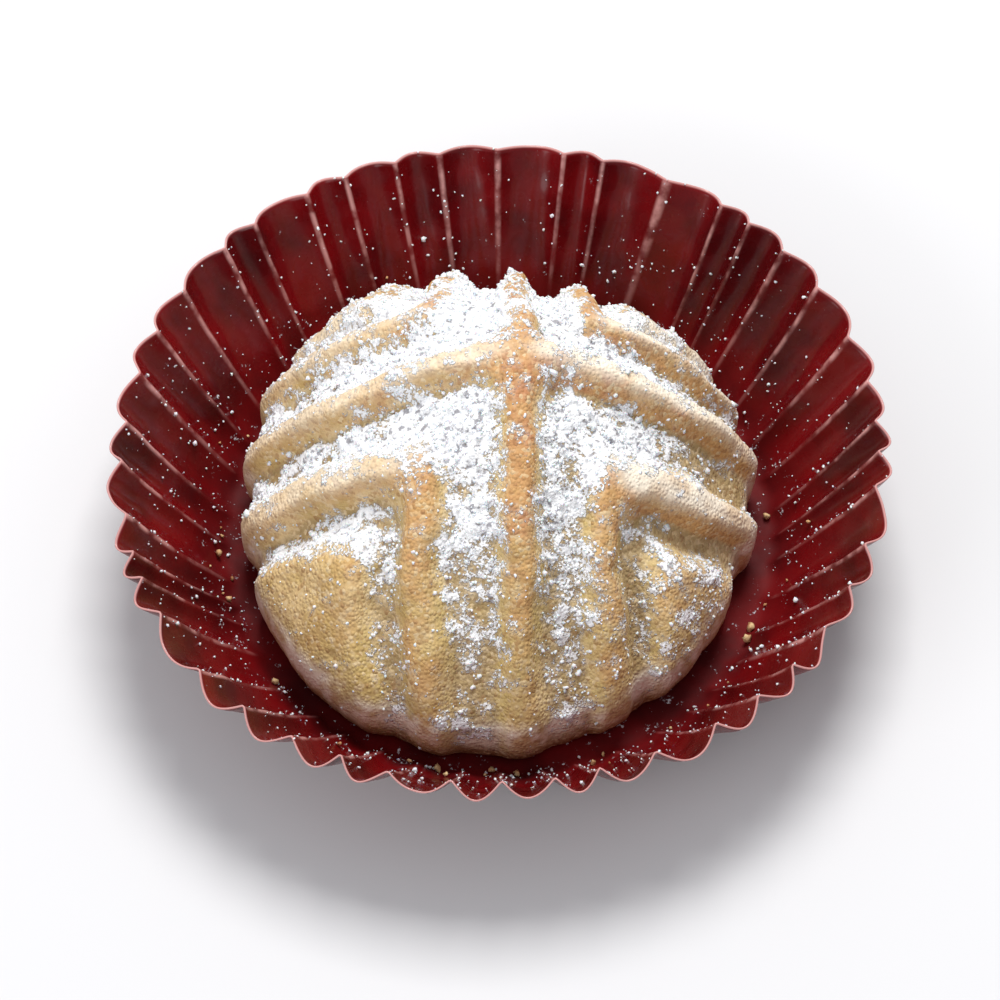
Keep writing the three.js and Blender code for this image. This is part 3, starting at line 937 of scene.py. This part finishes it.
def dough_material(powder, speckle, sand):
    """Baked semolina dough under powdered sugar, which the points' own values place.

    Pale dough turns olive, golden and toasted, and brown at its lowest edge. It is
    darkened in the grooves and on the front slopes of the ridges that run sideways, both
    painted shade. It has dark and light grains, and rubbed-in dust that is partly painted
    highlight. The sugar lies on top, with painted shade in its hollows, darker in the grooves.
    """
    material, tree, shader = new_material("dusted_dough")
    place = object_place(tree)
    raised = mark(tree, "raised")
    pale = use_group(tree, speckle, {
        "Place": place, "First": DOUGH_PALE, "Second": DOUGH_OLIVE, "Per Metre": DOUGH_CLOUDS
    })
    colour = mix_colours(tree, mark(tree, "olive"), pale["Color"], DOUGH_OLIVE)
    colour = mix_colours(tree, mark(tree, "golden"), colour, DOUGH_GOLDEN)
    patchy = ramp(tree, noise(tree, place, 1.3, 3.0), 0.35, 0.65, start=0.35, end=1.1)
    # Toasted crests, and painted shade on the front slopes of the sideways ridges.
    toast_and_shade = calculate(tree, "MULTIPLY", mark(tree, "toast_and_shade"), patchy)
    colour = mix_colours(tree, toast_and_shade, colour, DOUGH_TOAST_AND_SHADE)
    # Painted shade: the dough darkens in its grooves.
    painted_groove_shade = ramp(tree, raised, 0.25, 0.0, end=0.7)
    colour = mix_colours(tree, painted_groove_shade, colour, DOUGH_GROOVE_SHADE)
    edge = ramp(tree, mark(tree, "low"), 0.3, 0.8, end=0.7)
    colour = mix_colours(tree, edge, colour, DOUGH_BAKED_EDGE)
    grains = use_group(tree, sand, {"Place": place, "Per Metre": SEMOLINA_GRAINS})
    dark_grains = ramp(tree, grains["Tone"], 0.75, 1.0, end=0.45)
    colour = mix_colours(tree, dark_grains, colour, DOUGH_BAKED_EDGE)
    light_grains = ramp(tree, grains["Tone"], 0.35, 0.0, end=0.75)
    colour = mix_colours(tree, light_grains, colour, DOUGH_SEMOLINA)
    # Rubbed-in dust, partly painted highlight on the sideways ridges.
    dust_and_highlight_share = calculate(tree, "MULTIPLY", mark(tree, "dust_and_highlight"), DUST_AND_HIGHLIGHT_STRENGTH)
    colour = mix_colours(tree, dust_and_highlight_share, colour, DOUGH_DUST_AND_HIGHLIGHT)
    dust = use_group(tree, powder, {
        "Place": place, "Amount": mark(tree, "sugar"), "Film": SUGAR_FILM
    })
    # Painted shade in the sugar's hollows, stronger in the grooves.
    shade_share_in_grooves = ramp(tree, raised, 0.1, 0.9, start=0.85, end=0.15)
    painted_hollow_shade = calculate(tree, "MULTIPLY", dust["Painted Shade"], shade_share_in_grooves)
    white = mix_colours(tree, painted_hollow_shade, SUGAR_WHITE, SUGAR_PAINTED_SHADE)
    colour = mix_colours(tree, dust["Mask"], colour, white)
    tree.links.new(colour, shader.inputs["Base Color"])
    dull = ramp(tree, dust["Mask"], 0, 1, start=0.7, end=0.95)
    tree.links.new(dull, shader.inputs["Roughness"])
    sandy = calculate(tree, "MULTIPLY", grains["Height"], 0.4)
    rough = calculate(tree, "MULTIPLY", noise(tree, place, 0.9, 4.0), 0.4)
    relief = calculate(tree, "ADD", dust["Height"], calculate(tree, "ADD", sandy, rough))
    bump(tree, shader, relief, DOUGH_RELIEF)
    return material


def sugar_material():
    """Clumps of powdered sugar, white, with faint grey painted shade in their hollows."""
    material, tree, shader = new_material(
        "powdered_sugar", Roughness=0.85, Subsurface_Weight=0.2, Subsurface_Scale=0.0006
    )
    place = object_place(tree)
    grain = noise(tree, place, 0.12)
    tree.links.new(
        mix_colours(tree, ramp(tree, grain, 0.3, 0.6), SUGAR_SHADED, SUGAR_WHITE),
        shader.inputs["Base Color"],
    )
    bump(tree, shader, grain, SUGAR_RELIEF)
    return material


def crumb_material(speckle):
    """Loose crumbs of the same dough, toasted on some sides."""
    material, tree, shader = new_material("dough_crumbs", Roughness=0.8)
    place = object_place(tree)
    grain = use_group(tree, speckle, {
        "Place": place, "First": DOUGH_PALE, "Second": DOUGH_TOAST_AND_SHADE,
        "Per Metre": CRUMB_SPECKLES,
    })
    tree.links.new(grain["Color"], shader.inputs["Base Color"])
    bump(tree, shader, grain["Height"], CRUMB_RELIEF)
    return material


def paper_material(powder, speckle):
    """Glazed dark red paper, mottled with painted shade, worn pale along its inner folds with a
    painted highlight there, and with sugar dust on it.
    """
    material, tree, shader = new_material(
        "glazed_paper", Specular_IOR_Level=0.18, Coat_Roughness=0.06
    )
    place = object_place(tree)
    # The red paper mottled at random with its tone in shade, as painted shade.
    red_and_shade_mottle = use_group(tree, speckle, {
        "Place": place, "First": PAPER_RED, "Second": PAPER_SHADED, "Per Metre": PAPER_FIBRES
    })
    rubbed = ramp(tree, noise(tree, place, 1.8, 3.0), 0.35, 0.65, start=0.05, end=0.8)
    # Pale along the inner folds: wear, and painted highlight.
    worn = calculate(tree, "MULTIPLY", ramp(tree, mark(tree, "fold"), 0.84, 1.0), rubbed)
    further_up = ramp(tree, mark(tree, "rise"), 0.3, 0.9, start=0.15)
    worn = calculate(tree, "MULTIPLY", worn, further_up)
    edge = ramp(tree, mark(tree, "rim"), 0.5, 1.0, end=0.8)
    colour = mix_colours(tree, calculate(tree, "MAXIMUM", worn, edge), red_and_shade_mottle["Color"], PAPER_PALE_AND_HIGHLIGHT)
    settled = ramp(tree, mark(tree, "rise"), 0.3, 0.7, start=0.13, end=0.0)
    amount = calculate(tree, "MULTIPLY", mark(tree, "inside"), settled)
    dust = use_group(tree, powder, {"Place": place, "Amount": amount, "Film": 0.0})
    # The sugar dust on the paper takes the sugar's tone in shade, painted shade.
    colour = mix_colours(tree, dust["Mask"], colour, SUGAR_SHADED)
    tree.links.new(colour, shader.inputs["Base Color"])
    gloss = ramp(tree, noise(tree, place, 1.2), 0.3, 0.7, start=0.2, end=0.34)
    greasy = ramp(tree, mark(tree, "rise"), 0.25, 0.5, start=0.6, end=0.0)
    dull = calculate(tree, "MAXIMUM", dust["Mask"], greasy)
    tree.links.new(mix_values(tree, dull, gloss, PAPER_DULLEST), shader.inputs["Roughness"])
    coat = ramp(tree, mark(tree, "rise"), 0.3, 0.55, end=0.14)
    tree.links.new(coat, shader.inputs["Coat Weight"])
    wrinkles = calculate(tree, "MULTIPLY", red_and_shade_mottle["Height"], 0.5)
    bump(tree, shader, calculate(tree, "ADD", dust["Height"], wrinkles), PAPER_RELIEF)
    return material


# ---------------------------------------------------------------- the studio


def make_floor():
    """A plain pale floor."""
    material, _, shader = new_material("pale_floor", Roughness=0.9)
    shader.inputs["Base Color"].default_value = screen(220, 220, 222)
    bpy.ops.mesh.primitive_plane_add(size=3)
    floor = bpy.context.object
    floor.name = "floor"
    floor.data.materials.append(material)


def soft_light(name, place, size, power, colour):
    """A square soft light that faces the cookie. Its size is in metres, its power in watts."""
    light = bpy.data.lights.new(name, "AREA")
    light.size = size
    light.energy = power
    light.color = colour
    lamp = bpy.data.objects.new(name, light)
    lamp.location = place
    aim = Vector(place) - Vector(LOOK_AT)
    lamp.rotation_euler = aim.to_track_quat("Z", "Y").to_euler()
    bpy.context.scene.collection.objects.link(lamp)


def make_studio():
    """A large soft light behind and above, a weak fill in front, and a pale room."""
    soft_light("key", (0.04, 0.28, 0.54), size=0.27, power=3.5, colour=(1.0, 0.99, 0.97))
    soft_light("fill", (-0.46, -0.44, 0.34), size=0.40, power=1.7, colour=(0.98, 0.985, 1.0))
    world = bpy.data.worlds.new("room")
    bpy.context.scene.world = world
    world.use_nodes = True
    background = world.node_tree.nodes["Background"]
    background.inputs["Color"].default_value = (0.96, 0.97, 1.0, 1.0)
    background.inputs["Strength"].default_value = 0.52
    bpy.context.scene.view_settings.view_transform = "Standard"
    bpy.context.scene.view_settings.look = "None"


def make_camera():
    """A long lens that looks down at the cookie's front."""
    lens = bpy.data.cameras.new("camera")
    lens.lens = lens.sensor_width * CAMERA_DISTANCE / VIEW_WIDTH
    lens.clip_start = 0.05
    camera = bpy.data.objects.new("camera", lens)
    back = Vector((0, -math.cos(CAMERA_ELEVATION), math.sin(CAMERA_ELEVATION)))
    camera.location = Vector(LOOK_AT) + back * CAMERA_DISTANCE
    camera.rotation_euler = back.to_track_quat("Z", "Y").to_euler()
    bpy.context.scene.collection.objects.link(camera)
    bpy.context.scene.camera = camera


def make_maamoul():
    """The cookie, its cup, and what lies on them."""
    powder = powder_group()
    speckle = speckle_group()
    sand = sand_group()
    sugar = sugar_material()
    surface = make_cookie(dough_material(powder, speckle, sand))
    sheet = make_cup(paper_material(powder, speckle))
    make_sugar_clumps(surface, sugar)
    make_sugar_specks(sheet, sugar)
    make_crumbs(sheet, crumb_material(speckle))


make_camera()
make_studio()
make_floor()
make_maamoul()
